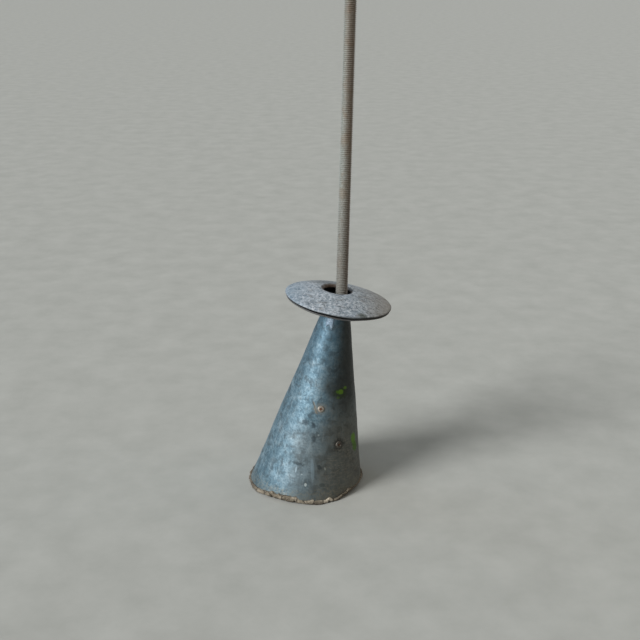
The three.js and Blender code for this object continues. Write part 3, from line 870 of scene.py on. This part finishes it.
def make_nut(node):
    """A hexagon nut: its corners are turned down to a cone and its plain hole is countersunk."""
    hole = ROD_RADIUS + TOUCH
    countersink = 0.6
    low, high = (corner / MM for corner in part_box(node))
    flats = high.y - low.y
    corner_radius = flats / math.sqrt(3)
    lean = 2 * corner_radius * rod_axis.x
    thickness = high.z - low.z - lean
    level = (low.z + lean / 2 - rod_start.z) / rod_axis.z
    bm = bmesh.new()
    bmesh.ops.create_cone(bm, cap_ends=True, segments=6, radius1=corner_radius, radius2=corner_radius,
                          depth=thickness)
    bmesh.ops.rotate(bm, verts=bm.verts, cent=(0, 0, 0), matrix=Matrix.Rotation(math.pi / 6, 3, "Z"))
    caps = [face for face in bm.faces if abs(face.normal.z) > 0.9]
    bmesh.ops.subdivide_edges(bm, edges=[edge for face in caps for edge in face.edges], cuts=7)
    caps = [face for face in bm.faces if abs(face.normal.z) > 0.9]
    for vert in bm.verts:
        past = math.hypot(vert.co.x, vert.co.y) - flats / 2
        if past > 0:
            vert.co.z -= math.copysign(past * 0.5, vert.co.z)
    bmesh.ops.inset_individual(bm, faces=caps, thickness=flats / 2 - hole - countersink)
    caps = [face for face in bm.faces if abs(face.normal.z) > 0.9 and len(face.verts) > 8]
    bmesh.ops.delete(bm, geom=caps, context="FACES_ONLY")
    rims = [edge for edge in bm.edges if edge.is_boundary]
    for edge in rims:
        for vert in edge.verts:
            size = math.hypot(vert.co.x, vert.co.y)
            vert.co.x *= hole / size
            vert.co.y *= hole / size
            vert.co.z = math.copysign(thickness / 2 - countersink, vert.co.z)
    bmesh.ops.bridge_loops(bm, edges=rims)
    bmesh.ops.recalc_face_normals(bm, faces=bm.faces)
    bmesh.ops.translate(bm, verts=bm.verts, vec=(0, 0, level + thickness / 2))
    finish_piece(bm, node + "_m10", rod_frame, "root", node, FASTENER, sharp=25)


# ---- Collar -------------------------------------------------------------------------------------

CROWN = 1.25  # over 1, the dishes are flatter near the hole and steeper near the rim
DISH_SIDES = 216
DISH_RINGS = 22


def crown(inner, rim, height, along):
    """Radius and height, `along` from a dish's inner edge at 0 to its rim at 1."""
    return inner + (rim - inner) * along, height * (1 - along ** CROWN)


def make_upper_dish():
    rise = UPPER_RISE - DISH_SHEET
    turn_in = 2.4  # radius of the edge turned down into the hole
    lip_end = UPPER_RISE - HOLE_LIP
    outside = [crown(HOLE_RADIUS, UPPER_RIM_RADIUS, rise, i / DISH_RINGS)
               for i in range(DISH_RINGS + 1)]
    outside = [(radius, z + DISH_SHEET) for radius, z in outside if radius > HOLE_RADIUS + turn_in]
    bend = arc((HOLE_RADIUS + turn_in, outside[0][1] - turn_in), turn_in, 180, 100, 10)
    rim = arc((UPPER_RIM_RADIUS - DISH_SHEET / 2, DISH_SHEET / 2), DISH_SHEET / 2, 75, -90, 6)
    inside = [crown(HOLE_RADIUS + DISH_SHEET, UPPER_RIM_RADIUS, rise, i / DISH_RINGS)
              for i in range(DISH_RINGS - 1, 0, -1)]
    lip = [(HOLE_RADIUS + DISH_SHEET, rise - DISH_SHEET), (HOLE_RADIUS + DISH_SHEET, lip_end),
           (HOLE_RADIUS + DISH_SHEET / 2, lip_end - 0.35), (HOLE_RADIUS, lip_end)]
    bm = spun([*bend, *outside[1:-1], *rim, *inside, *lip], DISH_SIDES, closed=True)
    for vert in bm.verts:
        beaten(vert, 0.28)
        vert.co.x += HOLE_SHIFT * vert.co.z / UPPER_RISE
    place = cone_frame @ Matrix.Translation((0, 0, -UPPER_DISH_DOWN))
    finish_piece(bm, "collar_upper_dish_zinc", place, "upper_dish", "collar_upper_dish",
                 UPPER_ZINC, sharp=60)


def beaten(vert, depth):
    """Shallow dents from hand beating; both faces of the sheet move together."""
    flat = Vector((vert.co.x, vert.co.y, 0))
    vert.co.z += depth * rough(flat, 24, 2) + 0.25 * depth * rough(flat, 7, 2)


# The lower rim has sprung away from its neighbour along the front: (degrees round, millimetres).
SPRUNG_RIM = [(-180, 0.0), (-150, 0.15), (-110, 0.7), (-84, 0.9), (-66, 0.2), (-40, 0.1), (40, 0.3),
              (110, 0.1)]


def make_lower_dish():
    hole = LOWER_DISH_DOWN * TAPER + SPIGOT_CLEARANCE
    under = [crown(hole + SEAT_WIDTH, LOWER_RIM_RADIUS, LOWER_DROP, i / DISH_RINGS)
             for i in range(DISH_RINGS)]
    under = [(radius, LOWER_DROP - z) for radius, z in under]
    rim = arc((LOWER_RIM_RADIUS - DISH_SHEET / 2, LOWER_DROP + DISH_SHEET / 2), DISH_SHEET / 2,
              -60, 90, 6)
    over = [(radius, z + DISH_SHEET) for radius, z in reversed(under)]
    bm = spun([(hole, 0), *under, *rim, *over[1:], (hole, DISH_SHEET)], DISH_SIDES, closed=True)
    for vert in bm.verts:
        beaten(vert, 0.22)
        degrees = math.degrees(math.atan2(vert.co.y, vert.co.x))
        reach = smooth_step(26, LOWER_RIM_RADIUS, math.hypot(vert.co.x, vert.co.y))
        vert.co.z -= around(SPRUNG_RIM, degrees) * reach
    place = cone_frame @ Matrix.Translation((0, 0, -LOWER_DISH_DOWN))
    finish_piece(bm, "collar_lower_dish_zinc", place, "lower_dish", "collar_lower_dish",
                 LOWER_ZINC, sharp=60)


# ---- Blind rivets -------------------------------------------------------------------------------

# name, height over the floor, degrees round, and the body's dark and pale tones
RIVETS = [("rivet_upper", 80.3, -91.6, "#6B645B", "#A29A8D"),
          # the lower rivet's far darker tones are painted shade: it stands on the side away from the
          # key light
          ("rivet_lower", 48.0, -58.8, "#23201C", "#6E685D")]


def rivet_frame(height, degrees):
    angle = math.radians(degrees)
    down = height_to_down(height, angle)
    tilt = Matrix.Rotation(angle, 4, "Z") @ Matrix.Rotation(math.pi / 2 - HALF_ANGLE, 4, "Y")
    return cone_frame @ Matrix.Translation(on_cone(angle, down)) @ tilt


def make_rivet(name, height, degrees, dark, pale):
    where = rivet_frame(height, degrees)
    bore = STEM_RADIUS + TOUCH * 0.5
    under = -SHEET - TOUCH
    tail = under - RIVET_TAIL
    dome = [(RIVET_HEAD * math.cos(a), TOUCH * 0.3 + RIVET_HEAD_HEIGHT * math.sin(a) ** 0.8)
            for a in (math.radians(d) for d in range(0, 66, 8))]
    swollen = [(RIVET_RADIUS + RIVET_SWELL * math.sin(math.pi * i / 8), tail + RIVET_TAIL * i / 8)
               for i in range(1, 8)]
    section = ([(bore, tail), (RIVET_RADIUS, tail)] + swollen
               + [(RIVET_RADIUS, under), (RIVET_RADIUS, TOUCH * 0.3)] + dome
               + [(bore + 0.25, dome[-1][1] - 0.05), (bore, dome[-1][1] - 0.35)])
    body = spun(section, 48, closed=True)
    skin = rivet_aluminium(name + "_aluminium", dark, pale)
    finish_piece(body, name + "_blind_body", where, "root", name + "_body", skin,
                 sharp=40)
    ball = 1.7 * STEM_RADIUS
    top = RIVET_HEAD_HEIGHT - 0.25
    stem = ([(0, tail - 2 * ball)] + list(arc((0, tail - ball), ball, -70, 50, 8))
            + [(STEM_RADIUS, tail - 0.3), (STEM_RADIUS, top - 0.15), (STEM_RADIUS - 0.2, top),
               (0, top + 0.05)])
    finish_piece(spun(stem, 32), name + "_snapped_stem", where, "root", name + "_stem",
                 STEM, sharp=40)


# ---- Stage: floor, light, camera ----------------------------------------------------------------

def make_stage():
    bm = bmesh.new()
    bmesh.ops.create_grid(bm, x_segments=1, y_segments=1, size=30.0)
    mesh = bpy.data.meshes.new("floor")
    bm.to_mesh(mesh)
    bm.free()
    floor = bpy.data.objects.new("floor", mesh)
    bpy.context.scene.collection.objects.link(floor)
    mesh.materials.append(floor_screed())


def add_light(name, source, spread, strength, code):
    """Even light from a far lamp: the way to it, its width in degrees, and watts a square metre."""
    light = bpy.data.lights.new(name, "SUN")
    light.angle = math.radians(spread)
    light.energy = strength
    light.color = colour(code)[:3]
    lamp = bpy.data.objects.new(name, light)
    lamp.rotation_mode = "QUATERNION"
    lamp.rotation_quaternion = Vector(source).to_track_quat("Z", "Y")
    bpy.context.scene.collection.objects.link(lamp)


def make_light():
    add_light("window_left", (-1.3, -0.9, 0.73), 28, 4.1, "#F8F8FC")
    add_light("sky_left", (-1.5, 0.9, 0.8), 40, 0.35, "#CFE3FF")
    add_light("ceiling", (0.2, 0.1, 1.0), 80, 0.3, "#F6F6F2")
    add_light("warm_right", (1.5, 0.1, 0.3), 50, 0.2, "#FFC486")
    add_light("fill_behind", (0.9, 1.3, 0.12), 60, 0.55, "#F4F6F8")
    world = bpy.data.worlds.new("studio")
    world.use_nodes = True
    backdrop = world.node_tree.nodes["Background"]
    backdrop.inputs["Color"].default_value = colour("#E2E6E8")
    backdrop.inputs["Strength"].default_value = 0.24
    bpy.context.scene.world = world


def make_camera():
    camera = bpy.data.cameras.new("view")
    camera.sensor_width = 36
    camera.lens = 57.5
    rig = bpy.data.objects.new("view", camera)
    rig.location = (0.0129, -0.8152, 0.4389)
    rig.rotation_euler = (math.radians(90 - 19.56), 0, 0)
    bpy.context.scene.collection.objects.link(rig)
    bpy.context.scene.camera = rig
    bpy.context.scene.view_settings.view_transform = "Standard"


make_camera()
make_light()
make_stage()
make_cone()
make_seam()
make_ring()
make_solder()
make_mortar()
make_rod()
make_washer("anchor_plate", ANCHOR_PLATE_RADIUS)
make_washer("clamp_washer", CLAMP_WASHER_RADIUS)
for nut in ("anchor_nut_lower", "anchor_nut_upper", "clamp_nut"):
    make_nut(nut)
make_lower_dish()
make_upper_dish()
for rivet in RIVETS:
    make_rivet(*rivet)
